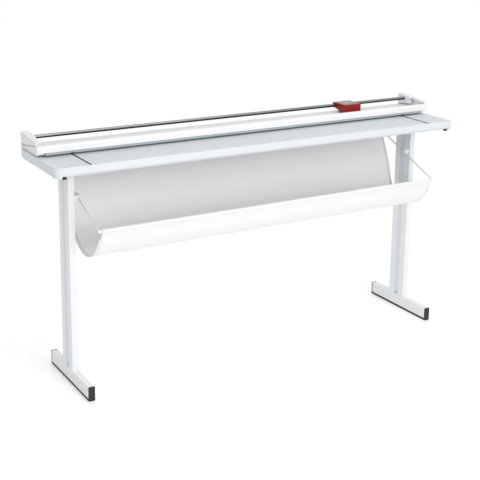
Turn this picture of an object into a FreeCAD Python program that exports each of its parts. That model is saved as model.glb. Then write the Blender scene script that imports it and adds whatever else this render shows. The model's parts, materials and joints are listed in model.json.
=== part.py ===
# Sliding paper trimmer on a stand, in millimetres.
# X runs along the cut, Y to the rear and Z up. The origin is on the floor, under the middle.
import FreeCAD, Part
import math
import os

os.makedirs("parts", exist_ok=True)
V = FreeCAD.Vector

# Table
half_length = 918.0
cap_width = 26.0
table_top = 900.0
table_depth = 38.0
table_front = -156.0
front_profile_width = 36.0
bed_front = -152.0
cap_corner_radius = 25.0
cap_seam = -132.0
bed_thickness = 3.0
counter_blade_face = 197.0
counter_blade_width = 7.0
counter_blade_height = 27.0
rear_profile_front = 150.0
stiffener_half_length = 880.0
bench_foot_x = 881.0
side_lay_x = 780.0
side_lay_width = 6.0
side_lay_height = 1.5

# Guide beam and clamp strip
beam_front = 17.0
beam_rear = 189.0
beam_gap = 8.0
beam_lip_bottom = 917.0
beam_half_length = 905.0
beam_ridge_top = 943.0
beam_ridge_rear = 34.0
beam_step = (50.0, 930.0)
beam_rear_top = 920.0
end_cap_top_front = (36.0, 944.5)
end_cap_top_rear = (189.0, 920.5)
beam_wall = 2.5
strip_front = 21.0
strip_width = 10.0
strip_lift = 6.5
strip_half_length = 885.0
pin_radius = 2.5
running_clearance = 0.05
spacer_x = 865.0

# Guide bar and end brackets
bar_y = 152.0
bar_z = 952.0
bar_radius = 7.5
bar_half_length = 896.0
bar_screw_x = 893.5
post_screw_x = 905.0
block_inner_x = 889.0
block_outer_x = 905.0
block_front = 113.0
bracket_inner_x = 892.3
bracket_front = 38.0
bracket_front_top = 955.0
post_front = 165.0
post_rear = 200.0
bracket_top = 968.0

# Cutter head at its place in the photograph
head_x = 542.0
head_width = 88.0
head_front = 75.0
head_rear = 165.3
head_top = 965.0
cover_wall = 2.0
bush_radius = 9.0
blade_radius = 24.0
blade_thickness = 2.0
blade_x = 588.0
blade_z = 916.0
blade_gap = 0.3
axle_plate_front = 201.5
axle_plate_rear = 204.8
axle_plate_top = 941.0
guard_width = 53.0
guard_rear = 206.8
guard_top = 950.5

# Legs and feet
leg_inner_x = 795.0
leg_thickness = 25.0
leg_front = -22.0
leg_width = 100.0
leg_wall = 2.0
leg_groove_width = 32.0
leg_groove_depth = 2.0
cover_strip_thickness = 1.2
leg_screw_height = 66.0
top_plate_thickness = 5.0
foot_front = -181.0
foot_rear = 206.8
foot_height = 47.0
foot_strip = 9.0
plug_flange = 6.0

# Paper catch: cloth hung between two rods that two wire arms carry
rod_radius = 5.0
front_rod = (-200.0, 662.0)
rear_rod = (165.0, 812.0)
cloth_half_length = 772.0
hem_half_length = 765.0
hem_thickness = 1.8
cloth_thickness = 1.6
knob_radius = 6.3
knob_inner_x = 766.0
knob_length = 13.0
arm_x = 776.0
arm_radius = 2.75
clip_screw_rise = 7.5
clip_reach = 4.5

table_bottom = table_top - table_depth
inner_half = half_length - cap_width
beam_bottom = table_top + beam_gap
beam_ledge = strip_front + strip_width + 3


def prism(points, x0, x1):
    outline = Part.makePolygon([V(x0, y, z) for y, z in points + points[:1]])
    return Part.Face(outline).extrude(V(x1 - x0, 0, 0))


def box(x0, x1, y0, y1, z0, z1):
    return Part.makeBox(x1 - x0, y1 - y0, z1 - z0, V(x0, y0, z0))


def rod_x(x0, x1, y, z, radius):
    return Part.makeCylinder(radius, x1 - x0, V(x0, y, z), V(1, 0, 0))


def rod_y(y0, y1, x, z, radius):
    return Part.makeCylinder(radius, y1 - y0, V(x, y0, z), V(0, 1, 0))


def rod_z(z0, z1, x, y, radius):
    return Part.makeCylinder(radius, z1 - z0, V(x, y, z0), V(0, 0, 1))


def rounded(shape, radius, wanted):
    # wanted takes an edge's middle point and its direction
    edges = []
    for edge in shape.Edges:
        first, last = edge.ParameterRange
        middle = edge.valueAt((first + last) / 2)
        along = edge.tangentAt((first + last) / 2)
        if wanted(middle, along):
            edges.append(edge)
    return shape.makeFillet(radius, edges)


def mirrored(shape):
    return shape.mirror(V(0, 0, 0), V(1, 0, 0))


def save(name, shape):
    shape.exportStep("parts/%s.step" % name)


def save_pair(name, right_shape):
    save("right_" + name, right_shape)
    save("left_" + name, mirrored(right_shape))


def group(solids):
    return Part.makeCompound(solids)


def drilled_group(shapes, screws):
    return group([drilled(solid, screws) for solid in shapes.Solids])


# A screw with a domed head and a hex socket, its head on the plane through at
def screw(at, out, radius, head_radius, head_height, length):
    out = V(*out)
    base = V(*at)
    head = Part.makeCylinder(head_radius, head_height, base, out)
    middle = base + out * (head_height / 2)
    rim = [edge for edge in head.Edges if edge.Closed and (edge.CenterOfMass - middle).dot(out) > 0]
    head = head.makeFillet(head_height * 0.4, rim)
    shank = Part.makeCylinder(radius, length, base - out * length, out)
    socket_wire = Part.makePolygon(hexagon(base + out * (head_height * 0.35), out, head_radius * 0.48))
    socket = Part.Face(socket_wire).extrude(out * head_height)
    return head.fuse(shank).cut(socket).removeSplitter()


# Tapped holes: each screw's own shape is taken out of what it goes into
def drilled(shape, screws):
    return shape.cut(screws.Solids)


def hexagon(centre, normal, radius):
    side = normal.cross(V(0, 0, 1))
    if side.Length < 0.5:
        side = normal.cross(V(1, 0, 0))
    side.normalize()
    other = normal.cross(side)
    points = []
    for index in range(7):
        angle = math.radians(60 * index)
        points.append(centre + side * (radius * math.cos(angle)) + other * (radius * math.sin(angle)))
    return points


def front_profile():
    rear = table_front + front_profile_width
    rebate = table_top - bed_thickness
    outline = [(table_front, table_bottom), (table_front, table_top), (bed_front - 0.2, table_top),
               (bed_front - 0.2, rebate), (rear, rebate), (rear, table_bottom)]
    body = prism(outline, -inner_half + 0.1, inner_half - 0.1)
    face = table_front + 1
    body = rounded(body, 17.0, lambda m, d: abs(d.x) > 0.9 and m.y < face and m.z < table_bottom + 1)
    body = rounded(body, 2.5, lambda m, d: abs(d.x) > 0.9 and m.y < face and m.z > table_top - 1)
    wall = 2.5
    chamber = [(table_front + 6, rebate - wall), (rear - wall, rebate - wall),
               (rear - wall, table_bottom + wall), (table_front + 17, table_bottom + wall),
               (table_front + 7, table_bottom + 8), (table_front + wall, table_bottom + 18),
               (table_front + wall, rebate - 6)]
    body = body.cut(prism(chamber, -half_length, half_length))
    web = box(-inner_half + 0.1, inner_half - 0.1, rear - 16, rear - 14, table_bottom + 1, rebate - 1)
    return body.fuse(web).removeSplitter()


def bed_plate():
    rear = counter_blade_face - counter_blade_width
    return box(-inner_half + 0.1, inner_half - 0.1, bed_front, rear, table_top - bed_thickness, table_top)


# Three rolled steel channels, open down the middle of the underside, that stiffen the bed
def bed_stiffeners():
    channels = []
    top = table_top - bed_thickness
    reach = stiffener_half_length
    for middle in (-70.0, 28.0, 112.0):
        outer = box(-reach, reach, middle - 25, middle + 25, table_bottom, top)
        inner = box(-reach - 1, reach + 1, middle - 23, middle + 23, table_bottom + 2, top - 2)
        slot = box(-reach - 1, reach + 1, middle - 11, middle + 11, table_bottom - 1, table_bottom + 3)
        channels.append(outer.cut(inner).cut(slot))
    return group(channels)


def rear_profile():
    rear = counter_blade_face - counter_blade_width
    outer = box(-inner_half + 0.1, inner_half - 0.1, rear_profile_front, rear, table_bottom,
                table_top - bed_thickness)
    inner = box(-half_length, half_length, rear_profile_front + 2.5, rear - 5, table_bottom + 2.5,
                table_top - bed_thickness - 2.5)
    return outer.cut(inner)


def counter_blade_xs():
    return [-840 + 210 * index for index in range(9)]


def counter_blade():
    front = counter_blade_face - counter_blade_width
    blade = box(-inner_half + 0.3, inner_half - 0.3, front, counter_blade_face,
                table_top - counter_blade_height, table_top)
    for x in counter_blade_xs():
        blade = blade.cut(rod_y(front - 1, counter_blade_face + 1, x, table_top - 20, 2.6))
        blade = blade.cut(rod_y(counter_blade_face - 2.6, counter_blade_face + 1, x, table_top - 20, 4.6))
    return blade


def counter_blade_screws():
    seat = counter_blade_face - 2.5
    return group([screw((x, seat, table_top - 20), (0, 1, 0), 2.4, 4.3, 2.2, 9.0)
                  for x in counter_blade_xs()])


# Moulded cap that closes the ends of the table profiles; this is the right one
def end_cap():
    rear = counter_blade_face - counter_blade_width - 0.6
    body = box(inner_half, half_length, table_front, rear, table_bottom, table_top)
    body = rounded(body, cap_corner_radius,
                   lambda m, d: abs(d.z) > 0.9 and m.y < table_front + 1 and m.x > half_length - 1)
    low = table_bottom - 1
    high = table_top + 1
    side_x = half_length - 1.2
    body = body.cut(box(side_x, half_length + 1, cap_seam, rear + 1, low, high))
    body = body.cut(box(side_x - 5, half_length + 1, cap_seam, rear + 1, low, table_bottom + 6))
    body = body.cut(box(half_length - 3, half_length + 1, cap_seam, cap_seam + 1.5, low, high))
    edge = box(side_x - 5, side_x + 1, cap_seam + 1.5, rear + 1, table_top - 5, table_top + 1)
    body = body.cut(edge.cut(rod_y(cap_seam, rear + 2, side_x - 5, table_top - 5, 5.0)))
    pocket = box(inner_half - 1, half_length - 9, table_front + 22, rear - 4, table_bottom + 3, table_top - 3)
    body = body.cut(pocket)
    ribs = [box(inner_half + 2, half_length - 8, y, y + 2.5, table_bottom + 2, table_top - 2)
            for y in (-90.0, -20.0, 50.0, 120.0)]
    return body.fuse(ribs).removeSplitter()


# Cast bracket that holds the guide bar and caps the end of the beam; this is the right one
def end_bracket():
    gap = 0.5
    low = end_cap_top_at(post_front) + gap
    upper = box(bracket_inner_x, half_length, post_front, post_rear, low, bracket_top)
    lower = box(bracket_inner_x, half_length, beam_rear + 0.6, post_rear, table_bottom + 6, bracket_top)
    post = upper.fuse(lower).removeSplitter()
    post = rounded(post, 4.0, lambda m, d: abs(d.z) > 0.9 and m.y > post_rear - 1)
    side = [(bracket_front, end_cap_top_at(bracket_front) + gap), (bracket_front, bracket_front_top - 3),
            (bracket_front + 3, bracket_front_top), (post_front, bracket_top), (post_front + 2, bracket_top),
            (post_front + 2, low), (post_front, low)]
    cheek = prism(side, half_length - 6, half_length)
    flange_line = [(bracket_front + 1, bracket_front_top), (post_front, bracket_top),
                   (post_front + 2, bracket_top), (post_front + 2, bracket_top - 4),
                   (post_front, bracket_top - 4), (bracket_front + 1, bracket_front_top - 4)]
    flange = prism(flange_line, bracket_inner_x + 3, half_length)
    block_side = [(block_front, end_cap_top_at(block_front) + gap),
                  (block_front, flange_top_at(block_front) - 1),
                  (post_front, bracket_top - 1), (post_front, low)]
    block = prism(block_side, block_inner_x, block_outer_x)
    link = box(bracket_inner_x + 0.5, block_outer_x, post_front - 5, post_front + 2, low, bracket_top - 1)
    body = post.fuse([cheek, flange, block, link]).removeSplitter()
    body = body.cut(rod_x(block_inner_x - 1, bar_half_length + 1, bar_y, bar_z, bar_radius + 0.02))
    body = body.cut(box(half_length - 2.5, half_length + 1, 169, 173, 944, 962))
    return drilled(drilled(body, guide_bar_screws()), bracket_screws())


# Height of the beam's top: a flat ridge in front, a step down and a long slope to the rear
def beam_top_at(y):
    step_y, step_z = beam_step
    if y <= beam_ridge_rear:
        return beam_ridge_top
    if y <= step_y:
        return beam_ridge_top + (step_z - beam_ridge_top) * (y - beam_ridge_rear) / (step_y - beam_ridge_rear)
    return step_z + (beam_rear_top - step_z) * (y - step_y) / (beam_rear - step_y)


def flange_top_at(y):
    slope = (bracket_top - bracket_front_top) / (post_front - bracket_front)
    return bracket_front_top + slope * (y - bracket_front)


def end_cap_top_at(y):
    y0, z0 = end_cap_top_front
    y1, z1 = end_cap_top_rear
    return z0 + (z1 - z0) * (y - y0) / (y1 - y0)


def clamp_beam():
    outline = [(beam_front, beam_lip_bottom), (beam_front, beam_ridge_top), (beam_ridge_rear, beam_ridge_top),
               beam_step, (beam_rear, beam_rear_top), (beam_rear, beam_bottom), (beam_ledge, beam_bottom),
               (beam_ledge, beam_lip_bottom)]
    body = prism(outline, -beam_half_length, beam_half_length)
    face = beam_front + 1
    body = rounded(body, 8.0, lambda m, d: abs(d.x) > 0.9 and m.y < face and m.z > beam_ridge_top - 1)
    body = rounded(body, 2.0, lambda m, d: abs(d.x) > 0.9 and (m.y > beam_rear - 1 or m.y < face))
    for chamber in beam_chambers():
        body = body.cut(prism(chamber, -beam_half_length - 1, beam_half_length + 1))
    middle = strip_front + strip_width / 2
    for x in pin_xs():
        body = body.cut(rod_z(beam_lip_bottom - 1, beam_lip_bottom + beam_wall + 1, x, middle,
                              pin_radius + running_clearance))
    return body


# The two hollow chambers of the beam, as outlines of (y, z) points
def beam_chambers():
    wall = beam_wall
    web = 110.0
    step_y, step_z = beam_step
    front = [(beam_front + wall, beam_lip_bottom + wall), (beam_front + wall, beam_ridge_top - 8),
             (beam_front + 4.2, beam_ridge_top - 4.2), (beam_front + 8, beam_ridge_top - wall),
             (beam_ridge_rear - 1, beam_ridge_top - wall), (step_y - 1, step_z - wall),
             (web, beam_top_at(web) - wall), (web, beam_bottom + wall),
             (beam_ledge + wall, beam_bottom + wall), (beam_ledge + wall, beam_lip_bottom + wall)]
    rear = [(web + wall, beam_bottom + wall), (web + wall, beam_top_at(web + wall) - wall),
            (beam_rear - wall, beam_rear_top - wall), (beam_rear - wall, beam_bottom + wall)]
    return front, rear


# Moulded cap on the beam's end: a ridge in front, then a recessed plate with a deep groove along its top and
# its front, and two spigots that sit in the beam's chambers; this is the right one
def beam_end_cap():
    inner_x = beam_half_length + 0.3
    front_y = end_cap_top_front[0]
    outline = [(beam_front, beam_lip_bottom), (beam_front, beam_ridge_top - 5),
               (beam_front + 3, beam_ridge_top + 0.5), end_cap_top_front, end_cap_top_rear,
               (beam_rear, beam_bottom), (beam_ledge, beam_bottom),
               (beam_ledge, beam_lip_bottom)]
    body = prism(outline, inner_x, half_length)
    groove_front = front_y + 1
    rear_y = beam_rear - 2.5
    recess = [(groove_front, beam_bottom + 2.5), (groove_front, end_cap_top_at(groove_front) - 1),
              (rear_y, end_cap_top_at(rear_y) - 1), (rear_y, beam_bottom + 2.5)]
    groove_rear = groove_front + 5
    groove = [(groove_front, beam_lip_bottom + 2), (groove_front, end_cap_top_at(groove_front) - 1),
              (rear_y, end_cap_top_at(rear_y) - 1), (rear_y, end_cap_top_at(rear_y) - 5.5),
              (groove_rear, end_cap_top_at(groove_rear) - 5.5), (groove_rear, beam_lip_bottom + 2)]
    body = body.cut(prism(recess, half_length - 3, half_length + 1))
    body = body.cut(prism(groove, half_length - 9, half_length + 1))
    spigots = [box(beam_half_length - 10, inner_x + 0.1, 60, 104, beam_bottom + 3, 922),
               box(beam_half_length - 10, inner_x + 0.1, 116, 180, beam_bottom + 3, 917.5)]
    return body.fuse(spigots).removeSplitter()


def beam_spacers():
    blocks = []
    for side in (-1, 1):
        for y in (60.0, 130.0):
            middle = side * spacer_x
            blocks.append(box(middle - 20, middle + 20, y, y + 40, table_top, beam_bottom))
    return group(blocks)


def pin_xs():
    return [-820.0, -410.0, 0.0, 410.0, 820.0]


def clamp_strip():
    bottom = table_top + strip_lift
    outline = [(strip_front, bottom + 1.5), (strip_front, beam_lip_bottom - 0.5),
               (strip_front + strip_width, beam_lip_bottom - 0.5), (strip_front + strip_width, bottom),
               (strip_front + 1.5, bottom)]
    body = prism(outline, -strip_half_length, strip_half_length)
    for side in (-1, 1):
        middle = side * side_lay_x
        body = body.cut(box(middle - 6, middle + 6, strip_front - 1, strip_front + strip_width + 1,
                            bottom - 1, bottom + 2.5))
    return body


# Pins on the clamp strip that slide in the beam; a collar on each holds its return spring
def clamp_guide_pins():
    pins = []
    middle = strip_front + strip_width / 2
    for x in pin_xs():
        pin = rod_z(beam_lip_bottom - 0.5, beam_ridge_top - 5, x, middle, pin_radius)
        collar = rod_z(beam_ridge_top - 7, beam_ridge_top - 5, x, middle, 4.5)
        pins.append(pin.fuse(collar).removeSplitter())
    return group(pins)


def clamp_springs():
    springs = []
    middle = strip_front + strip_width / 2
    for x in pin_xs():
        bottom = beam_lip_bottom + beam_wall + 0.2
        top = beam_ridge_top - 7.2
        sleeve = rod_z(bottom, top, x, middle, 4.2)
        springs.append(sleeve.cut(rod_z(bottom - 1, top + 1, x, middle, 3.2)))
    return group(springs)


def side_lay():
    return box(side_lay_x - side_lay_width / 2, side_lay_x + side_lay_width / 2, table_front + 5, 70,
               table_top, table_top + side_lay_height)


def bench_feet():
    return group([Part.makeCone(9.5, 8.0, 4.5, V(side * bench_foot_x, y, table_bottom), V(0, 0, -1))
                  for side in (-1, 1) for y in (-147.0, 168.0)])


def guide_bar():
    bar = rod_x(-bar_half_length, bar_half_length, bar_y, bar_z, bar_radius)
    return bar.makeChamfer(1.0, [edge for edge in bar.Edges if edge.Closed])


def guide_bar_screws():
    return group([screw((side * bar_screw_x, block_front, bar_z), (0, -1, 0), 2.0, 3.5, 1.6, 28.0)
                  for side in (-1, 1)])


def bracket_screws():
    return group([screw((side * post_screw_x, post_rear, z), (0, 1, 0), 3.0, 5.5, 2.0, 8.0)
                  for side in (-1, 1) for z in (884.0, 938.0)])


def head_outline():
    lift = 1.2
    return [(head_front, beam_top_at(head_front) + lift), (head_front, head_top - 2.5),
            (head_front + 2.5, head_top), (head_rear - 2.5, head_top), (head_rear, head_top - 2.5),
            (head_rear, 941.0), (135.0, 940.0), (124.0, 937.0), (112.0, 931.0),
            (104.0, beam_top_at(104) + lift)]


def head_cover():
    x0 = head_x - head_width / 2
    x1 = head_x + head_width / 2
    body = prism(head_outline(), x0, x1)
    body = rounded(body, 1.2, lambda m, d: abs(d.x) < 0.5 and m.z > 944
                   and (m.x < x0 + 0.1 or m.x > x1 - 0.1))
    wall = cover_wall
    roof = head_top - wall - 0.4
    hollow = [(head_front + wall, 920.0), (head_front + wall, head_top - 4), (head_front + 4, roof),
              (head_rear - 4, roof), (head_rear - wall, head_top - 4), (head_rear - wall, 920.0)]
    body = body.cut(prism(hollow, x0 + wall, x1 - wall))
    slot = rod_x(x0 - 1, x1 + 1, bar_y, bar_z, bar_radius + 1.2)
    slot = slot.fuse(box(x0 - 1, x1 + 1, bar_y - bar_radius - 1.2, bar_y + bar_radius + 1.2, 930, bar_z))
    body = body.cut(slot)
    body = body.cut(box(562, x1 - wall, head_rear - 3, head_rear + 1, 930, 949.4))
    inset = box(head_x - 26, head_x + 26, head_front + 26, head_rear - 16, head_top - 0.8, head_top + 1)
    return body.cut(inset).removeSplitter()


def head_inset_plate():
    plate = box(head_x - 25.8, head_x + 25.8, head_front + 26.2, head_rear - 16.2, head_top - 0.8, head_top)
    return rounded(plate, 2.0, lambda m, d: abs(d.z) > 0.9)


def head_chassis():
    x0 = head_x - head_width / 2 + 3
    x1 = head_x + head_width / 2 - 3
    collar = rod_x(x0, x1, bar_y, bar_z, bush_radius + 1.4)
    front_block = box(x0, x1, head_front + 3, bar_y - 2, 943.0, 959)
    nose = box(x0 + 4, x1 - 4, head_front + 3, head_front + 25, 940.5, 944)
    arm_under = 943.5
    arm_over = 948.5
    arm_side = [(bar_y, arm_under), (bar_y, arm_over), (axle_plate_rear - 7, arm_over),
                (axle_plate_rear, axle_plate_top), (axle_plate_rear, blade_z + 14),
                (axle_plate_front, blade_z + 14), (axle_plate_front, arm_under)]
    arm = prism(arm_side, blade_x - 24, blade_x - 6)
    plate = box(blade_x - 22, blade_x + 14, axle_plate_front, axle_plate_rear, blade_z - 8, axle_plate_top)
    body = collar.fuse([front_block, nose, arm, plate])
    body = body.cut(rod_x(x0 - 1, x1 + 1, bar_y, bar_z, bush_radius))
    body = body.cut(rod_y(200, 206, blade_x, blade_z, 3.5))
    hollow = box(x0 + 3, x1 - 3, head_front + 28, bar_y - 14, 941, 956)
    return drilled(body.cut(hollow).removeSplitter(), blade_guard_screws())


def bar_bushes():
    bushes = []
    for x in (head_x - head_width / 2 + 3, head_x + head_width / 2 - 23):
        bush = rod_x(x, x + 20, bar_y, bar_z, bush_radius)
        bushes.append(bush.cut(rod_x(x - 1, x + 21, bar_y, bar_z, bar_radius + running_clearance)))
    return group(bushes)


# Plastic shoe under the nose of the head that runs on the beam's sloping top
def head_glide():
    y0 = head_front + 5
    y1 = head_front + 23
    side = [(y0, beam_top_at(y0) + 0.35), (y0, 940.5), (y1, 940.5), (y1, beam_top_at(y1) + 0.35)]
    return prism(side, head_x - 30, head_x + 30)


def blade_hub():
    face = counter_blade_face + blade_gap
    flange = rod_y(face - 3, face, blade_x, blade_z, 9.5)
    sleeve = rod_y(face, face + blade_thickness, blade_x, blade_z, 7.0)
    bore = rod_y(face - 5, face + 5, blade_x, blade_z, 3.5 + running_clearance)
    return flange.fuse(sleeve).cut(bore).removeSplitter()


def cutter_blade():
    face = counter_blade_face + blade_gap
    disc = rod_y(face, face + 0.6, blade_x, blade_z, blade_radius)
    bevel = Part.makeCone(blade_radius, blade_radius - 2.5, blade_thickness - 0.6,
                          V(blade_x, face + 0.6, blade_z), V(0, 1, 0))
    return disc.fuse(bevel).cut(rod_y(face - 1, face + 5, blade_x, blade_z, 7.0)).removeSplitter()


def blade_axle():
    face = counter_blade_face + blade_gap
    pin = rod_y(face - 5.6, 205.0, blade_x, blade_z, 3.5)
    head = rod_y(face - 5.6, face - 3.3, blade_x, blade_z, 5.5)
    shoulder = rod_y(face + blade_thickness + 0.3, axle_plate_front, blade_x, blade_z, 5.5)
    return pin.fuse([head, shoulder]).removeSplitter()


def blade_guard():
    x0 = blade_x - guard_width / 2
    x1 = blade_x + guard_width / 2
    y0 = head_rear + 0.3
    y1 = guard_rear
    bottom = 903.0
    side = [(y0, 943.0), (y0, guard_top), (y1 - 8, guard_top), (y1, guard_top - 8), (y1, bottom),
            (192.0, bottom), (192.0, 926.0), (178.0, 941.0)]
    body = prism(side, x0, x1)
    body = rounded(body, 5.0, lambda m, d: abs(d.y) > 0.9 and m.z > guard_top - 1)
    wall = 1.5
    top = guard_top - 1.9
    hollow = [(y0 - 1, 900.0), (y0 - 1, top), (y1 - 8.5, top), (y1 - wall, guard_top - 9.5),
              (y1 - wall, 900.0)]
    body = body.cut(prism(hollow, x0 + wall, x1 - wall)).removeSplitter()
    return drilled(body, blade_guard_screws())


def blade_guard_screws():
    return group([screw((572.0, y, guard_top), (0, 0, 1), 1.5, 2.8, 1.2, 6.0) for y in (173.0, 190.0)])


# Leg profile: flat tube with a groove down the middle of each wide side; this is the right one
def leg():
    outer_x = leg_inner_x + leg_thickness
    rear = leg_front + leg_width
    middle = leg_front + leg_width / 2
    half_groove = leg_groove_width / 2
    bottom = foot_strip + foot_height
    top = table_bottom - top_plate_thickness
    body = box(leg_inner_x, outer_x, leg_front, rear, bottom, top)
    body = rounded(body, 2.0, lambda m, d: abs(d.z) > 0.9)
    for x0, x1 in ((leg_inner_x - 1, leg_inner_x + leg_groove_depth),
                   (outer_x - leg_groove_depth, outer_x + 1)):
        body = body.cut(box(x0, x1, middle - half_groove, middle + half_groove, bottom - 1, top + 1))
    for y0, y1 in ((leg_front + leg_wall, middle - half_groove - leg_wall),
                   (middle + half_groove + leg_wall, rear - leg_wall)):
        body = body.cut(box(leg_inner_x + leg_wall, outer_x - leg_wall, y0, y1, bottom - 1, top + 1))
    inner = leg_groove_depth + leg_wall
    body = body.cut(box(leg_inner_x + inner, outer_x - inner, middle - half_groove + leg_wall,
                        middle + half_groove - leg_wall, bottom - 1, top + 1))
    for y in clip_ys():
        hole_z = arm_point(y) + clip_screw_rise
        body = body.cut(rod_x(leg_inner_x - 1, leg_inner_x + leg_wall + 1, y, hole_z, 1.6))
    return drilled(body, leg_foot_screws())


# Strips that lie in the grooves of the leg, with a hole for the screw; these are the right leg's
def leg_cover_strips():
    middle = leg_front + leg_width / 2
    half_groove = leg_groove_width / 2 - 0.2
    strips = []
    for floor, out in ((leg_inner_x + leg_groove_depth, -1),
                       (leg_inner_x + leg_thickness - leg_groove_depth, 1)):
        x0 = min(floor, floor + out * cover_strip_thickness)
        strip = box(x0, x0 + cover_strip_thickness, middle - half_groove, middle + half_groove,
                    foot_strip + foot_height, table_bottom - top_plate_thickness)
        strips.append(strip.cut(rod_x(x0 - 1, x0 + 3, middle, leg_screw_height, 6.4)))
    return group(strips)


def foot_tube():
    outer_x = leg_inner_x + leg_thickness
    body = box(leg_inner_x, outer_x, foot_front + plug_flange, foot_rear - plug_flange, foot_strip,
               foot_strip + foot_height)
    body = rounded(body, 1.5, lambda m, d: abs(d.y) > 0.9)
    hollow = box(leg_inner_x + 2, outer_x - 2, foot_front, foot_rear, foot_strip + 2,
                 foot_strip + foot_height - 2)
    return body.cut(hollow)


def foot_plugs():
    outer_x = leg_inner_x + leg_thickness
    plugs = []
    for flange_y, spigot_y in ((foot_front, foot_front + plug_flange),
                               (foot_rear - plug_flange, foot_rear - plug_flange - 15)):
        flange = box(leg_inner_x, outer_x, flange_y, flange_y + plug_flange, foot_strip,
                     foot_strip + foot_height)
        flange = rounded(flange, 1.2, lambda m, d: abs(d.y) > 0.9)
        spigot = box(leg_inner_x + 2, outer_x - 2, spigot_y, spigot_y + 15, foot_strip + 2,
                     foot_strip + foot_height - 2)
        core = box(leg_inner_x + 4, outer_x - 4, spigot_y, spigot_y + 15, foot_strip + 4,
                   foot_strip + foot_height - 4)
        plugs.append(flange.fuse(spigot.cut(core)).removeSplitter())
    return group(plugs)


def foot_strip_piece():
    outer_x = leg_inner_x + leg_thickness
    body = box(leg_inner_x, outer_x, foot_front, foot_rear, 0, foot_strip)
    return rounded(body, 1.5, lambda m, d: abs(d.y) > 0.9 and m.z < 1)


def leg_top_plate():
    middle = leg_inner_x + leg_thickness / 2
    across = leg_front + leg_width / 2
    plate = box(middle - 30, middle + 30, across - 75, across + 75, table_bottom - top_plate_thickness,
                table_bottom)
    plate = rounded(plate, 6.0, lambda m, d: abs(d.z) > 0.9)
    for x, y in top_plate_screw_places():
        plate = plate.cut(rod_z(table_bottom - 10, table_bottom + 1, x, y, 3.2))
    return plate


def top_plate_screw_places():
    middle = leg_inner_x + leg_thickness / 2
    across = leg_front + leg_width / 2
    return [(middle + dx, across + dy) for dx in (-22.0, 22.0) for dy in (-62.0, 62.0)]


def top_plate_screws():
    screws = []
    bottom = table_bottom - top_plate_thickness
    for side in (-1, 1):
        for x, y in top_plate_screw_places():
            screws.append(screw((side * x, y, bottom), (0, 0, -1), 3.0, 5.5, 3.0, top_plate_thickness + 4))
    return group(screws)


# One round-headed screw in each wide face of the leg, above the foot
def leg_foot_screws():
    screws = []
    y = leg_front + leg_width / 2
    for side in (-1, 1):
        for face, out in ((leg_inner_x + leg_groove_depth, -1),
                          (leg_inner_x + leg_thickness - leg_groove_depth, 1)):
            screws.append(screw((side * face, y, leg_screw_height), (side * out, 0, 0), 2.5, 6.0, 1.8, 5.0))
    return group(screws)


def catch_rod(place, reach):
    y, z = place
    rod = rod_x(-reach, reach, y, z, rod_radius)
    return rod.makeChamfer(0.8, [edge for edge in rod.Edges if edge.Closed])


def catch_rod_knobs():
    knobs = []
    for side in (-1, 1):
        for y, z in (front_rod, rear_rod):
            knob = Part.makeCylinder(knob_radius, knob_length, V(side * knob_inner_x, y, z), V(side, 0, 0))
            knob = knob.makeFillet(2.0, [edge for edge in knob.Edges if edge.Closed
                                         and abs(edge.CenterOfMass.x) > knob_inner_x + 5])
            knobs.append(knob.cut(catch_rod((y, z), knob_inner_x + 9)))
    return group(knobs)


# Straight wire from the front rod's knob to the rear rod's knob; this is the right one
def catch_arm():
    y0, z0 = front_rod
    y1, z1 = rear_rod
    length = math.hypot(y1 - y0, z1 - z0)
    along = V(0, (y1 - y0) / length, (z1 - z0) / length)
    inset = knob_radius + 0.2
    start = V(arm_x, y0, z0) + along * inset
    return Part.makeCylinder(arm_radius, length - 2 * inset, start, along)


def arm_point(y):
    y0, z0 = front_rod
    y1, z1 = rear_rod
    return z0 + (z1 - z0) * (y - y0) / (y1 - y0)


# Clips on the legs' inner sides that hold the wire arms
def arm_clips():
    clips = []
    slope = math.degrees(math.atan2(rear_rod[1] - front_rod[1], rear_rod[0] - front_rod[0]))
    for y in clip_ys():
        z = arm_point(y)
        reach = leg_inner_x - arm_x
        body = Part.makeBox(reach + clip_reach, 18, 22, V(-clip_reach, -9, -8))
        body = body.makeFillet(2.5, [edge for edge in body.Edges if abs(edge.tangentAt(0).x) > 0.9])
        body = body.cut(Part.makeCylinder(arm_radius, 40, V(0, -20, 0), V(0, 1, 0)))
        body.rotate(V(0, 0, 0), V(1, 0, 0), slope)
        body.translate(V(arm_x, y, z))
        body = drilled(body, clip_screws())
        clips.append(body)
        clips.append(mirrored(body))
    return group(clips)


def clip_ys():
    return [-4.0]


def clip_screws():
    length = leg_inner_x - arm_x + 6.0
    return group([screw((side * (arm_x - clip_reach), y, arm_point(y) + clip_screw_rise), (-side, 0, 0),
                        1.6, 2.8, 1.2, length)
                  for side in (-1, 1) for y in clip_ys()])


# Section of the hanging cloth, from the front rod down round the trough and up to the rear rod
def cloth_line():
    return [(-205.7, 658.8), (-190.0, 628.0), (-169.0, 592.0), (-145.0, 565.0), (-118.0, 545.0),
            (-88.0, 532.0), (-55.0, 527.0), (-20.0, 533.0), (16.0, 550.0), (48.0, 571.0), (72.0, 597.0),
            (83.0, 641.0), (105.0, 705.0), (135.0, 769.0), (159.5, 809.5)]


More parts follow.
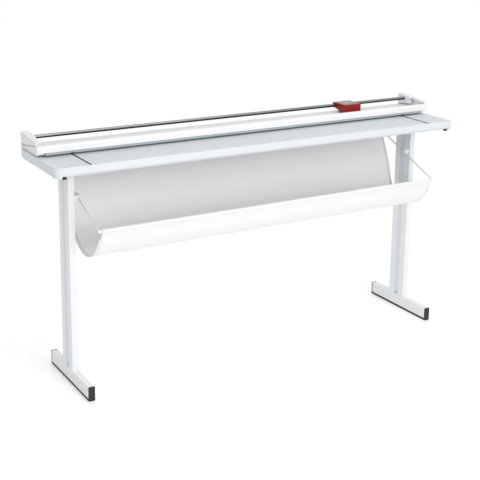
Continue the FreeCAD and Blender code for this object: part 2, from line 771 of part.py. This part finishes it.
def catch_cloth():
    line = cloth_line()
    offset = []
    for index, (y, z) in enumerate(line):
        before = line[max(index - 1, 0)]
        after = line[min(index + 1, len(line) - 1)]
        dy = after[0] - before[0]
        dz = after[1] - before[1]
        length = math.hypot(dy, dz)
        offset.append((y - dz / length * cloth_thickness, z + dy / length * cloth_thickness))
    body = prism(line + offset[::-1], -cloth_half_length, cloth_half_length)
    ends = []
    for y, z in (front_rod, rear_rod):
        body = body.fuse(rod_x(-hem_half_length, hem_half_length, y, z, rod_radius + hem_thickness))
        for side in (-1, 1):
            start = V(side * hem_half_length, y, z)
            ends.append(Part.makeCylinder(knob_radius + 0.4, 30, start, V(side, 0, 0)))
        ends.append(rod_x(-hem_half_length - 1, hem_half_length + 1, y, z, rod_radius + 0.1))
    return body.cut(ends).removeSplitter()


save("front_profile", front_profile())
save("bed_plate", bed_plate())
save("bed_stiffeners", drilled_group(bed_stiffeners(), top_plate_screws()))
save("rear_profile", drilled(rear_profile(), counter_blade_screws()))
save("counter_blade", counter_blade())
save("counter_blade_screws", counter_blade_screws())
save_pair("end_cap", end_cap())
save_pair("end_bracket", end_bracket())
save("bracket_screws", bracket_screws())
save("guide_bar", guide_bar())
save("guide_bar_screws", guide_bar_screws())
save("clamp_beam", clamp_beam())
save_pair("beam_end_cap", beam_end_cap())
save("beam_spacers", beam_spacers())
save("clamp_strip", clamp_strip())
save("clamp_guide_pins", clamp_guide_pins())
save("clamp_springs", clamp_springs())
save_pair("side_lay", side_lay())
save("bench_feet", bench_feet())
save("head_chassis", head_chassis())
save("head_cover", head_cover())
save("head_inset_plate", head_inset_plate())
save("bar_bushes", bar_bushes())
save("head_glide", head_glide())
save("cutter_blade", cutter_blade())
save("blade_hub", blade_hub())
save("blade_axle", blade_axle())
save("blade_guard", blade_guard())
save("blade_guard_screws", blade_guard_screws())
save_pair("leg", leg())
save_pair("leg_cover_strips", leg_cover_strips())
save_pair("foot_tube", foot_tube())
save_pair("foot_plugs", foot_plugs())
save_pair("foot_strip", foot_strip_piece())
save_pair("leg_top_plate", leg_top_plate())
save("top_plate_screws", top_plate_screws())
save("leg_foot_screws", leg_foot_screws())
save("catch_front_rod", catch_rod(front_rod, knob_inner_x + 9))
save("catch_rear_rod", catch_rod(rear_rod, knob_inner_x + 9))
save("catch_rod_knobs", catch_rod_knobs())
save_pair("catch_arm", catch_arm())
save("arm_clips", arm_clips())
save("clip_screws", clip_screws())
save("catch_cloth", catch_cloth())
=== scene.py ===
import json
import math
import bmesh
import bpy
from mathutils import Matrix, Vector, noise


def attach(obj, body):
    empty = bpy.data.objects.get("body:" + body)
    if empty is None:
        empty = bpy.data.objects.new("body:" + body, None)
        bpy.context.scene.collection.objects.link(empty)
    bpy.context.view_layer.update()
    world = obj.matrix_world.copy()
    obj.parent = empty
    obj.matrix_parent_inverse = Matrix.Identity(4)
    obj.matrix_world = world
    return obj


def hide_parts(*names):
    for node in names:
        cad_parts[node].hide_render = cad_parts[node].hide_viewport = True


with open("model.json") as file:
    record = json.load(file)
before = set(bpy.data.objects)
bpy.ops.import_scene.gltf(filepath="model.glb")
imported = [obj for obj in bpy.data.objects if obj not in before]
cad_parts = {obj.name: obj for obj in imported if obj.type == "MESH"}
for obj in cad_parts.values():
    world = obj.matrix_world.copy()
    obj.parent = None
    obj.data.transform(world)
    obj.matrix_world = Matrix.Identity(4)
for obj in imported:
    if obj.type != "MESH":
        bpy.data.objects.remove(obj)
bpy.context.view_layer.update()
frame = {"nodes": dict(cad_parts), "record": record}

nodes = frame["nodes"]

# where the photograph was taken from, in metres and radians; the rise is the camera's lens shift
viewPoint = {"place": (-2.1836, -3.5461, 1.8235), "yaw": 0.537, "pitch": 0.233, "roll": 0.013,
             "lens": 78.8, "sensor": 36.0, "rise": -0.1875}


def aimCamera(spec):
    yaw, pitch, roll = spec["yaw"], spec["pitch"], spec["roll"]
    ahead = Vector((math.sin(yaw) * math.cos(pitch), math.cos(yaw) * math.cos(pitch), -math.sin(pitch)))
    level = Vector((math.cos(yaw), -math.sin(yaw), 0))
    above = level.cross(ahead)
    right = level * math.cos(roll) + above * math.sin(roll)
    up = above * math.cos(roll) - level * math.sin(roll)
    data = bpy.data.cameras.new("photoCamera")
    data.sensor_width = spec["sensor"]
    data.lens = spec["lens"]
    data.shift_y = spec["rise"]
    data.clip_end = 60
    camera = bpy.data.objects.new("photoCamera", data)
    bpy.context.scene.collection.objects.link(camera)
    turn = Matrix((right, up, -ahead)).transposed().to_4x4()
    camera.matrix_world = Matrix.Translation(spec["place"]) @ turn
    bpy.context.scene.camera = camera


aimCamera(viewPoint)
print("camera set")


# light, floor and background
studio = {"sky": 0.78, "skyColour": "#FFFFFF", "floorSize": 24.0, "floorColour": "#F5F5F5",
          "floorGlow": 0.2, "floorRough": (0.17, 0.27),
          "lamps": [
              {"name": "topLight", "place": (0.7, -1.5, 3.9), "aim": (0.0, 0.0, 0.9),
               "size": 2.4, "power": 22},
              {"name": "lowFrontLight", "place": (-0.4, -3.6, 1.5), "aim": (0.0, 0.0, 0.65),
               "size": 1.8, "power": 44}]}


def toLinear(hexColour):
    parts = [int(hexColour[i:i + 2], 16) / 255 for i in (1, 3, 5)]
    linear = [p / 12.92 if p <= 0.04045 else ((p + 0.055) / 1.055) ** 2.4 for p in parts]
    return (*linear, 1.0)


def addNode(tree, kind, inputs=None, **settings):
    node = tree.nodes.new(kind)
    for name, value in settings.items():
        setattr(node, name, value)
    for key, value in (inputs or {}).items():
        if isinstance(value, bpy.types.NodeSocket):
            tree.links.new(value, node.inputs[key])
        else:
            node.inputs[key].default_value = value
    return node


def setSky(spec):
    world = bpy.data.worlds.new("studioSky")
    bpy.context.scene.world = world
    world.use_nodes = True
    tree = world.node_tree
    tree.nodes.clear()
    ray = addNode(tree, "ShaderNodeLightPath")
    seen = addNode(tree, "ShaderNodeMath", {0: ray.outputs["Is Camera Ray"],
                                            1: ray.outputs["Is Glossy Ray"]}, operation="MAXIMUM")
    seen = addNode(tree, "ShaderNodeMath", {0: seen.outputs[0],
                                            1: ray.outputs["Is Transmission Ray"]}, operation="MAXIMUM")
    sky = addNode(tree, "ShaderNodeBackground", {"Color": toLinear(spec["skyColour"]),
                                                 "Strength": spec["sky"]})
    white = addNode(tree, "ShaderNodeBackground", {"Color": (1, 1, 1, 1), "Strength": 1.0})
    mix = addNode(tree, "ShaderNodeMixShader", {0: seen.outputs[0], 1: sky.outputs[0], 2: white.outputs[0]})
    addNode(tree, "ShaderNodeOutputWorld", {"Surface": mix.outputs[0]})


def setLamps(spec):
    for lamp in spec["lamps"]:
        data = bpy.data.lights.new(lamp["name"], "AREA")
        data.shape = "SQUARE"
        data.size = lamp["size"]
        data.energy = lamp["power"]
        item = bpy.data.objects.new(lamp["name"], data)
        bpy.context.scene.collection.objects.link(item)
        toward = Vector(lamp["aim"]) - Vector(lamp["place"])
        turn = toward.to_track_quat("-Z", "Y").to_matrix().to_4x4()
        item.matrix_world = Matrix.Translation(lamp["place"]) @ turn


def layFloor(spec):
    half = spec["floorSize"] / 2
    corners = [(-half, -half, 0), (half, -half, 0), (half, half, 0), (-half, half, 0)]
    mesh = bpy.data.meshes.new("studioFloor")
    mesh.from_pydata(corners, [], [(0, 1, 2, 3)])
    floor = bpy.data.objects.new("studioFloor", mesh)
    bpy.context.scene.collection.objects.link(floor)
    paint = bpy.data.materials.new("paleFloorPaint")
    paint.use_nodes = True
    tree = paint.node_tree
    tree.nodes.clear()
    ray = addNode(tree, "ShaderNodeLightPath")
    seen = addNode(tree, "ShaderNodeMath", {0: ray.outputs["Is Camera Ray"],
                                            1: ray.outputs["Is Glossy Ray"]}, operation="MAXIMUM")
    grain = addNode(tree, "ShaderNodeTexNoise", {"Scale": 40.0, "Detail": 3.0})
    rough = addNode(tree, "ShaderNodeMapRange", {
        "Value": grain.outputs["Fac"], "To Min": spec["floorRough"][0], "To Max": spec["floorRough"][1]})
    coat = addNode(tree, "ShaderNodeBsdfPrincipled", {
        "Base Color": toLinear(spec["floorColour"]), "Roughness": rough.outputs[0]})
    glow = addNode(tree, "ShaderNodeEmission", {"Color": (1, 1, 1, 1), "Strength": spec["floorGlow"]})
    both = addNode(tree, "ShaderNodeAddShader", {0: coat.outputs[0], 1: glow.outputs[0]})
    mix = addNode(tree, "ShaderNodeMixShader", {0: seen.outputs[0], 1: coat.outputs[0], 2: both.outputs[0]})
    addNode(tree, "ShaderNodeOutputMaterial", {"Surface": mix.outputs[0]})
    mesh.materials.append(paint)


setSky(studio)
setLamps(studio)
layFloor(studio)
bpy.context.scene.view_settings.view_transform = "Standard"
print("studio set")


# finishes
# grain and lift, the bump's height, are in millimetres; rough is the range of the roughness;
# where the real grain is finer, it is drawn as coarse as it needs to show
finishes = {
    # extruded aluminium under white polyester powder: satin, with a slight orange peel
    "powderCoatWhite": {"colour": "#F3F4F5", "shade": "#ECEDEF", "rough": (0.32, 0.42),
                        "grain": 2.2, "lift": 0.03, "metallic": 0.0, "ior": 1.5},
    # edge profile and end caps of the table: their white satin coat drawn in a pale silver grey, as painted
    # shade that keeps these faces off pure white
    "shadeGreyedCoat": {"colour": "#DFE3E6", "shade": "#D7DBDF", "rough": (0.36, 0.46),
                       "grain": 1.8, "lift": 0.03, "metallic": 0.0, "ior": 1.5},
    # bed sheet under a fine matt grey coat, which shows as an even cool grey
    "bedGreyCoat": {"colour": "#D9DDDF", "shade": "#D1D5D8", "rough": (0.38, 0.5),
                    "grain": 1.4, "lift": 0.02, "metallic": 0.0, "ior": 1.5},
    # folded steel with zinc plate: dull blue grey with soft spangle
    "zincPlate": {"colour": "#B4B9BE", "shade": "#9FA5AB", "rough": (0.3, 0.45),
                  "grain": 6.0, "lift": 0.02, "metallic": 1.0, "ior": 1.5},
    # ground tool steel: bright, with lines along the grind
    "groundSteel": {"colour": "#B9BCC0", "shade": "#A3A7AC", "rough": (0.18, 0.3),
                    "grain": 0.8, "lift": 0.01, "metallic": 1.0, "ior": 1.5, "stretch": (0.04, 1.0, 1.0)},
    # hard-plated guide bar: mirror-like with faint turning marks, and painted shade on its underside, a
    # near-black colour that stands in for the shade under the bar;
    # the range holds the heights of the normal between which the painted shade sets in
    "platedBar": {"colour": "#9B9B98", "shade": "#8C8C89", "rough": (0.14, 0.22),
                  "grain": 3.0, "lift": 0.004, "metallic": 1.0, "ior": 1.5, "stretch": (0.05, 1.0, 1.0),
                  "paintedShadeColour": "#2E3032", "paintedShadeRamp": (0.35, -0.15)},
    # injection-moulded ABS in white with a fine spark-eroded grain
    "mouldedWhiteAbs": {"colour": "#F1F2F3", "shade": "#E9EAEC", "rough": (0.4, 0.52),
                        "grain": 1.0, "lift": 0.03, "metallic": 0.0, "ior": 1.46},
    # die-cast bracket under the same white powder, a little rougher
    "castingWhite": {"colour": "#EEEFF1", "shade": "#E5E6E9", "rough": (0.4, 0.5),
                     "grain": 3.0, "lift": 0.05, "metallic": 0.0, "ior": 1.5},
    # black nylon and ABS parts: dull charcoal
    "blackNylon": {"colour": "#1D1F21", "shade": "#151719", "rough": (0.42, 0.55),
                   "grain": 1.0, "lift": 0.03, "metallic": 0.0, "ior": 1.5},
    # vulcanised rubber: near black, matt
    "blackRubber": {"colour": "#1F2123", "shade": "#17181A", "rough": (0.6, 0.75),
                    "grain": 1.6, "lift": 0.06, "metallic": 0.0, "ior": 1.5},
    # extruded clamp strip in blue-tinted clear plastic, seen against the dark gap
    "tintedClampStrip": {"colour": "#B0BCC0", "shade": "#A5B1B6", "rough": (0.15, 0.25),
                         "grain": 4.0, "lift": 0.01, "metallic": 0.0, "ior": 1.49},
    # injection-moulded ABS in signal red, polished mould
    "polishedRedAbs": {"colour": "#8E1008", "shade": "#7E0D06", "rough": (0.24, 0.34),
                       "grain": 1.6, "lift": 0.02, "metallic": 0.0, "ior": 1.4},
    # bare grey plate let into the top of the head
    "greyInsetPlate": {"colour": "#8D93A0", "shade": "#7F8592", "rough": (0.3, 0.4),
                       "grain": 1.2, "lift": 0.01, "metallic": 0.0, "ior": 1.5},
    # sand-cast aluminium as it leaves the mould
    "castAluminium": {"colour": "#B0B2B5", "shade": "#9A9CA0", "rough": (0.4, 0.55),
                      "grain": 1.8, "lift": 0.05, "metallic": 1.0, "ior": 1.5},
    # steel legs and feet under white powder
    "powderCoatFrame": {"colour": "#F1F2F3", "shade": "#EAEBED", "rough": (0.34, 0.44),
                        "grain": 2.2, "lift": 0.03, "metallic": 0.0, "ior": 1.5},
    # extruded strip in pale blue-grey plastic that covers the groove of the leg
    "paleLegStrip": {"colour": "#E3E9ED", "shade": "#DAE1E6", "rough": (0.4, 0.5),
                     "grain": 1.2, "lift": 0.02, "metallic": 0.0, "ior": 1.46},
    # drawn wire under white powder
    "powderCoatWire": {"colour": "#E3E5E7", "shade": "#D9DCDE", "rough": (0.34, 0.44),
                       "grain": 1.5, "lift": 0.03, "metallic": 0.0, "ior": 1.5}}

slotFinish = {
    "white_profile": "powderCoatWhite", "bed_grey": "bedGreyCoat", "galvanised_steel": "zincPlate",
    "blade_steel": "groundSteel", "chrome_bar": "platedBar", "white_moulding": "mouldedWhiteAbs",
    "white_casting": "castingWhite", "black_plastic": "blackNylon", "black_rubber": "blackRubber",
    "clamp_tint": "tintedClampStrip", "red_shell": "polishedRedAbs", "grey_inset": "greyInsetPlate",
    "cast_aluminium": "castAluminium", "white_frame": "powderCoatFrame", "white_wire": "powderCoatWire",
    "strip_blue_grey": "paleLegStrip"}
# painted shade: these pieces are drawn a slightly greyer tone than the other pieces of their slot, standing
# in for the shade on their faces
nodeFinish = {"front_profile": "shadeGreyedCoat", "left_end_cap": "shadeGreyedCoat",
              "right_end_cap": "shadeGreyedCoat"}
driftSize = 180.0  # millimetres, the slow change of tone over a part


def makeFinish(name, spec):
    material = bpy.data.materials.new(name)
    material.use_nodes = True
    tree = material.node_tree
    tree.nodes.clear()
    place = addNode(tree, "ShaderNodeTexCoord")
    spread = addNode(tree, "ShaderNodeMapping", {"Vector": place.outputs["Object"],
                                                 "Scale": spec.get("stretch", (1.0, 1.0, 1.0))})
    grain = addNode(tree, "ShaderNodeTexNoise", {"Vector": spread.outputs[0], "Scale": 1000 / spec["grain"],
                                                 "Detail": 2.0})
    drift = addNode(tree, "ShaderNodeTexNoise", {"Vector": place.outputs["Object"], "Scale": 1000 / driftSize,
                                                 "Detail": 3.0})
    colour = addNode(tree, "ShaderNodeMix", {0: drift.outputs["Fac"], 6: toLinear(spec["colour"]),
                                             7: toLinear(spec["shade"])}, data_type="RGBA")
    # painted shade: faces that point downward are drawn darker, standing in for the shade beneath the bar
    if "paintedShadeColour" in spec:
        facing = addNode(tree, "ShaderNodeSeparateXYZ", {0: place.outputs["Normal"]})
        paintedShadeRamp = addNode(tree, "ShaderNodeMapRange", {"Value": facing.outputs["Z"], "From Min": spec["paintedShadeRamp"][0],
                                                    "From Max": spec["paintedShadeRamp"][1]})
        colour = addNode(tree, "ShaderNodeMix", {0: paintedShadeRamp.outputs[0], 6: colour.outputs[2],
                                                 7: toLinear(spec["paintedShadeColour"])}, data_type="RGBA")
    rough = addNode(tree, "ShaderNodeMapRange", {
        "Value": grain.outputs["Fac"], "From Min": 0.3, "From Max": 0.7,
        "To Min": spec["rough"][0], "To Max": spec["rough"][1]})
    bump = addNode(tree, "ShaderNodeBump", {"Height": grain.outputs["Fac"], "Strength": 0.5,
                                            "Distance": spec["lift"] / 1000})
    skin = addNode(tree, "ShaderNodeBsdfPrincipled", {
        "Base Color": colour.outputs[2], "Roughness": rough.outputs[0], "Normal": bump.outputs[0],
        "Metallic": spec["metallic"], "IOR": spec["ior"]})
    addNode(tree, "ShaderNodeOutputMaterial", {"Surface": skin.outputs[0]})
    return material


finishMaterials = {name: makeFinish(name, spec) for name, spec in finishes.items()}
nodeSlots = {entry["node"]: entry["material_slot"] for entry in frame["record"]["subparts"]}
for nodeName, item in nodes.items():
    if nodeSlots[nodeName] in slotFinish:
        for place in item.material_slots:
            place.material = finishMaterials[nodeFinish.get(nodeName, slotFinish[nodeSlots[nodeName]])]
print("finishes on the rigid parts")


# the hanging cloth
# all sizes here are in metres; the line is the cloth's section as (y, z) from the front rod to the rear rod;
# the laps set the hems' loose ends off the panel, and the turns are the angles of the cloth round its rods;
# seamRow and edgeRow count rows of the mesh in from either rod, to the seam and to where the end hems start;
# real threads are closer than threadPitch, which is drawn as coarse as the weave needs to show
catchSpec = {"halfLength": 0.772, "hemHalf": 0.765, "columns": 190, "panelRows": 84, "loopSteps": 14,
             "frontRod": (-0.200, 0.662), "frontLap": (0.0011, 0.0005), "frontTurn": (-50, 202),
             "rearRod": (0.165, 0.812), "rearLap": (0.0009, -0.0006), "rearTurn": (150, -100),
             "loop": 0.0061, "flap": 0.015,
             "seamRow": 20, "edgeRow": 22, "hemWidth": 0.012, "hemLift": 0.0009, "thread": 0.0008,
             "threadPitch": 0.0011,
             "waves": {"lift": 0.0022, "along": 3.1, "down": 2.4},
             "folds": {"lift": 0.0011, "along": 17.0, "down": 3.0, "fade": 14},
             "slants": {"lift": 0.0012, "along": 22, "lean": 30, "down": 6},
             "colour": "#FBFBFB", "shade": "#F6F6F7",
             "line": [(-0.2056, 0.659), (-0.190, 0.628), (-0.169, 0.592), (-0.145, 0.565), (-0.118, 0.545),
                      (-0.088, 0.532), (-0.055, 0.527), (-0.020, 0.533), (0.016, 0.550), (0.048, 0.571),
                      (0.072, 0.597), (0.083, 0.641), (0.105, 0.705), (0.135, 0.769), (0.1598, 0.815)]}
sewing = {"Pitch": 0.0046, "Length": 0.0030, "Thread Radius": 0.00036, "Seed": 7}
# how far each row of stitches stands off the middle of the cloth, and how far in the end rows run
stitchRows = {"single": 0.00045, "double": 0.0015, "endHem": 0.00135, "endInset": 0.010}


def smoothLine(points, count):
    # a rounded line through the given points, at even steps
    parts = 12
    fine = []
    for index in range(len(points) - 1):
        before = Vector(points[max(index - 1, 0)])
        start = Vector(points[index])
        end = Vector(points[index + 1])
        after = Vector(points[min(index + 2, len(points) - 1)])
        for step in range(parts):
            t = step / parts
            fine.append(0.5 * ((2 * start) + (end - before) * t
                               + (2 * before - 5 * start + 4 * end - after) * t * t
                               + (3 * start - before - 3 * end + after) * t ** 3))
    fine.append(Vector(points[-1]))
    lengths = [0.0]
    for a, b in zip(fine, fine[1:]):
        lengths.append(lengths[-1] + (b - a).length)
    even = []
    at = 0
    for index in range(count):
        want = lengths[-1] * index / (count - 1)
        while at < len(lengths) - 2 and lengths[at + 1] < want:
            at += 1
        t = (want - lengths[at]) / (lengths[at + 1] - lengths[at])
        even.append(fine[at].lerp(fine[at + 1], t))
    return even


def hemLoop(centre, radius, first, last, steps):
    # points round a rod, from one angle to the other in degrees
    turn = math.radians(last - first)
    angles = [math.radians(first) + turn * step / steps for step in range(steps + 1)]
    return [Vector((centre[0] + radius * math.cos(angle), centre[1] + radius * math.sin(angle)))
            for angle in angles]


def clothSection(spec):
    # panel points with their share of the way between the rods, and the two hems that go round the rods
    panel = smoothLine(spec["line"], spec["panelRows"])
    down = (panel[1] - panel[0]).normalized()
    back = (panel[-2] - panel[-1]).normalized()
    frontFlap = [panel[0] + down * spec["flap"] * share + Vector(spec["frontLap"])
                 for share in (1.0, 0.7, 0.4)]
    rearFlap = [panel[-1] + back * spec["flap"] * share + Vector(spec["rearLap"])
                for share in (0.4, 0.7, 1.0)]
    before = frontFlap + hemLoop(spec["frontRod"], spec["loop"], *spec["frontTurn"], spec["loopSteps"])
    behind = hemLoop(spec["rearRod"], spec["loop"], *spec["rearTurn"], spec["loopSteps"]) + rearFlap
    points = before + panel[1:-1] + behind
    last = len(panel) - 1
    shares = [0.0] * len(before) + [index / last for index in range(1, last)] + [1.0] * len(behind)
    return points, shares


def rippleAt(spec, x, share):
    # slack in the cloth: broad waves in the panels, short folds that fade away from the rods, and slanting
    # folds near the ends
    waves, folds, slants = spec["waves"], spec["folds"], spec["slants"]
    free = math.sin(math.pi * min(max(share, 0.0), 1.0)) ** 0.7 if 0.0 < share < 1.0 else 0.0
    wave = noise.noise(Vector((x * waves["along"], share * waves["down"], 4.0))) * waves["lift"]
    nearFront = math.exp(-share * folds["fade"]) * min(share * 40, 1.0)
    nearRear = math.exp(-(1 - share) * folds["fade"]) * min((1 - share) * 40, 1.0)
    fold = noise.noise(Vector((x * folds["along"], share * folds["down"], 9.0))) * folds["lift"]
    atEnds = max(abs(x) / spec["halfLength"] - 0.9, 0.0) * 10
    leaning = Vector((abs(x) * slants["along"] + share * slants["lean"], share * slants["down"], 2.0))
    slant = noise.noise(leaning) * slants["lift"] * atEnds * free
    return wave * free + fold * (nearFront + nearRear) + slant


def clothPoint(spec, section, x, index, out=0.0):
    points, shares = section
    along = (points[min(index + 1, len(points) - 1)] - points[max(index - 1, 0)]).normalized()
    lift = rippleAt(spec, x, shares[index]) + out
    spot = points[index] + Vector((-along.y, along.x)) * lift
    return (x, spot.x, spot.y)


def finishMesh(name, shape):
    mesh = bpy.data.meshes.new(name)
    bmesh.ops.recalc_face_normals(shape, faces=shape.faces)
    shape.to_mesh(mesh)
    shape.free()
    for face in mesh.polygons:
        face.use_smooth = True
    item = bpy.data.objects.new(name, mesh)
    bpy.context.scene.collection.objects.link(item)
    return item


def weaveSheet(name, spec, section, xs, rows, out):
    # a strip of the cloth over the given x places and section rows, with a weave map laid out in metres
    points = section[0]
    shape = bmesh.new()
    grid = [[shape.verts.new(clothPoint(spec, section, x, row, out)) for row in rows] for x in xs]
    runs = [0.0]
    for a, b in zip(rows, rows[1:]):
        runs.append(runs[-1] + (points[b] - points[a]).length)
    layer = shape.loops.layers.uv.new("weave")
    for left in range(len(xs) - 1):
        for low in range(len(rows) - 1):
            corners = [(left, low), (left, low + 1), (left + 1, low + 1), (left + 1, low)]
            face = shape.faces.new([grid[a][b] for a, b in corners])
            for loop in face.loops:
                for a, b in corners:
                    if loop.vert == grid[a][b]:
                        loop[layer].uv = (xs[a], runs[b])
    item = finishMesh(name, shape)
    thick = item.modifiers.new("thread", "SOLIDIFY")
    thick.thickness = spec["thread"]
    thick.offset = 0
    return item, runs[-1]


def hangCloth(spec, section):
    rows = list(range(len(section[0])))
    xs = [spec["halfLength"] * (2 * column / spec["columns"] - 1) for column in range(spec["columns"] + 1)]
    xs = [x for x in xs if abs(x) < spec["hemHalf"] - 0.002]
    xs = [-spec["hemHalf"]] + xs + [spec["hemHalf"]]
    sheet, drop = weaveSheet("catchCloth", spec, section, xs, rows, 0.0)
    hems = []
    free = rows[spec["edgeRow"]:-spec["edgeRow"]]
    for side in (-1, 1):
        places = sorted(side * x for x in (spec["hemHalf"] - 0.0002, spec["halfLength"]))
        edge = weaveSheet("catchEdge", spec, section, places, free, 0.0)[0]
        edge.name = "catchEdgeRight" if side > 0 else "catchEdgeLeft"
        hems.append(edge)
        for face, out in (("Outer", -spec["hemLift"]), ("Inner", spec["hemLift"])):
            insets = (0.0, spec["hemWidth"] / 2, spec["hemWidth"])
            places = sorted(side * (spec["halfLength"] - inset) for inset in insets)
            fold = weaveSheet("catchHem", spec, section, places, free, out)[0]
            fold.name = "catchHem" + face + ("Right" if side > 0 else "Left")
            hems.append(fold)
    return sheet, hems, drop


def stitchTree(material):
    # short lengths of thread at even steps along each line, a little uneven in length
    tree = bpy.data.node_groups.new("stitchRow", "GeometryNodeTree")
    tree.interface.new_socket("Lines", in_out="INPUT", socket_type="NodeSocketGeometry")
    for label in ("Pitch", "Length", "Thread Radius"):
        tree.interface.new_socket(label, in_out="INPUT", socket_type="NodeSocketFloat")
    tree.interface.new_socket("Seed", in_out="INPUT", socket_type="NodeSocketInt")
    tree.interface.new_socket("Stitches", in_out="OUTPUT", socket_type="NodeSocketGeometry")
    given = addNode(tree, "NodeGroupInput")
    curve = addNode(tree, "GeometryNodeMeshToCurve", {"Mesh": given.outputs["Lines"]})
    steps = addNode(tree, "GeometryNodeCurveToPoints", {
        "Curve": curve.outputs[0], "Length": given.outputs["Pitch"]}, mode="LENGTH")
    thread = addNode(tree, "GeometryNodeMeshCylinder", {
        "Vertices": 6, "Radius": given.outputs["Thread Radius"], "Depth": given.outputs["Length"]})
    uneven = addNode(tree, "FunctionNodeRandomValue", {2: 0.88, 3: 1.06, "Seed": given.outputs["Seed"]})
    placed = addNode(tree, "GeometryNodeInstanceOnPoints", {
        "Points": steps.outputs["Points"], "Instance": thread.outputs["Mesh"],
        "Rotation": steps.outputs["Rotation"], "Scale": uneven.outputs[1]})
    real = addNode(tree, "GeometryNodeRealizeInstances", {0: placed.outputs[0]})
    dyed = addNode(tree, "GeometryNodeSetMaterial", {"Geometry": real.outputs[0], "Material": material})
    addNode(tree, "NodeGroupOutput", {"Stitches": dyed.outputs[0]})
    return tree


def stitchLines(spec, section, rows):
    # a seam near each rod, on both faces of the cloth, and a row down both ends, on both faces
    count = len(section[0])
    steps = 80
    xs = [spec["hemHalf"] * (step / steps * 2 - 1) for step in range(steps + 1)]
    frontSeam = spec["seamRow"]
    rearSeam = count - 1 - spec["seamRow"]
    seams = [(frontSeam, -rows["single"]), (frontSeam, rows["double"]),
             (rearSeam, rows["single"]), (rearSeam, -rows["double"])]
    lines = [[clothPoint(spec, section, x, row, out) for x in xs] for row, out in seams]
    first = spec["edgeRow"] + 1
    for side in (-1, 1):
        for out in (-rows["endHem"], rows["endHem"]):
            x = side * (spec["halfLength"] - rows["endInset"])
            lines.append([clothPoint(spec, section, x, row, out) for row in range(first, count - first)])
    return lines


def sewRows(name, lines, tree, sizes):
    mesh = bpy.data.meshes.new(name + "Lines")
    verts = []
    edges = []
    for line in lines:
        edges += [(len(verts) + step, len(verts) + step + 1) for step in range(len(line) - 1)]
        verts += line
    mesh.from_pydata(verts, edges, [])
    guide = bpy.data.objects.new(name + "Lines", mesh)
    bpy.context.scene.collection.objects.link(guide)
    sewn = guide.modifiers.new("sewn", "NODES")
    sewn.node_group = tree
    for item in tree.interface.items_tree:
        if item.in_out == "INPUT" and item.name in sizes:
            sewn[item.identifier] = sizes[item.name]
    ready = guide.evaluated_get(bpy.context.evaluated_depsgraph_get())
    plain = bpy.data.meshes.new_from_object(ready)
    piece = bpy.data.objects.new(name, plain)
    bpy.context.scene.collection.objects.link(piece)
    bpy.data.objects.remove(guide)
    return piece


def makeClothFinish(spec):
    # plain-woven nylon: matt and soft, with crossing threads and faint handling marks
    material = bpy.data.materials.new("wovenNylonWhite")
    material.use_nodes = True
    tree = material.node_tree
    tree.nodes.clear()
    place = addNode(tree, "ShaderNodeUVMap", uv_map="weave")
    turns = 2 * math.pi / (20 * spec["threadPitch"])
    threads = {"Vector": place.outputs[0], "Scale": turns, "Distortion": 0.4, "Detail": 1.0}
    warp = addNode(tree, "ShaderNodeTexWave", threads, bands_direction="X")
    weft = addNode(tree, "ShaderNodeTexWave", threads, bands_direction="Y")
    cross = addNode(tree, "ShaderNodeMath", {0: warp.outputs["Fac"], 1: weft.outputs["Fac"]},
                    operation="MAXIMUM")
    drift = addNode(tree, "ShaderNodeTexNoise", {"Vector": place.outputs[0], "Scale": 5.0, "Detail": 4.0})
    tone = addNode(tree, "ShaderNodeMix", {0: drift.outputs["Fac"], 6: toLinear(spec["colour"]),
                                           7: toLinear(spec["shade"])}, data_type="RGBA")
    gaps = addNode(tree, "ShaderNodeMapRange", {"Value": cross.outputs[0], "To Min": 0.94, "To Max": 1.0})
    colour = addNode(tree, "ShaderNodeMix", {0: 1.0, 6: tone.outputs[2], 7: gaps.outputs[0]},
                     data_type="RGBA", blend_type="MULTIPLY")
    rough = addNode(tree, "ShaderNodeMapRange", {"Value": drift.outputs["Fac"],
                                                 "To Min": 0.78, "To Max": 0.92})
    bump = addNode(tree, "ShaderNodeBump", {"Height": cross.outputs[0],
                                            "Strength": 0.35, "Distance": 0.00012})
    skin = addNode(tree, "ShaderNodeBsdfPrincipled", {
        "Base Color": colour.outputs[2], "Roughness": rough.outputs[0], "Sheen Weight": 0.12,
        "Subsurface Weight": 0.35, "Subsurface Radius": (1.0, 1.0, 1.0), "Subsurface Scale": 0.004,
        "Normal": bump.outputs[0]})
    addNode(tree, "ShaderNodeOutputMaterial", {"Surface": skin.outputs[0]})
    return material


clothFinish = makeClothFinish(catchSpec)
# spun polyester sewing thread, a shade darker than the cloth
threadSpec = {"colour": "#E4E7EA", "shade": "#DADEE2", "rough": (0.6, 0.75),
              "grain": 0.5, "lift": 0.05, "metallic": 0.0, "ior": 1.5}
threadFinish = makeFinish("sewingThread", threadSpec)
catchSection = clothSection(catchSpec)
catchCloth, catchHems, clothDrop = hangCloth(catchSpec, catchSection)
for piece in [catchCloth] + catchHems:
    piece.data.materials.append(clothFinish)
threadLines = stitchLines(catchSpec, catchSection, stitchRows)
catchStitches = sewRows("catchStitches", threadLines, stitchTree(threadFinish), sewing)
for piece in [catchCloth, catchStitches] + catchHems:
    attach(piece, "frame")
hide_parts("catch_cloth")
stitchFaces = 8  # six sides and two ends
print("cloth hung", round(clothDrop, 3), "stitches", len(catchStitches.data.polygons) // stitchFaces)
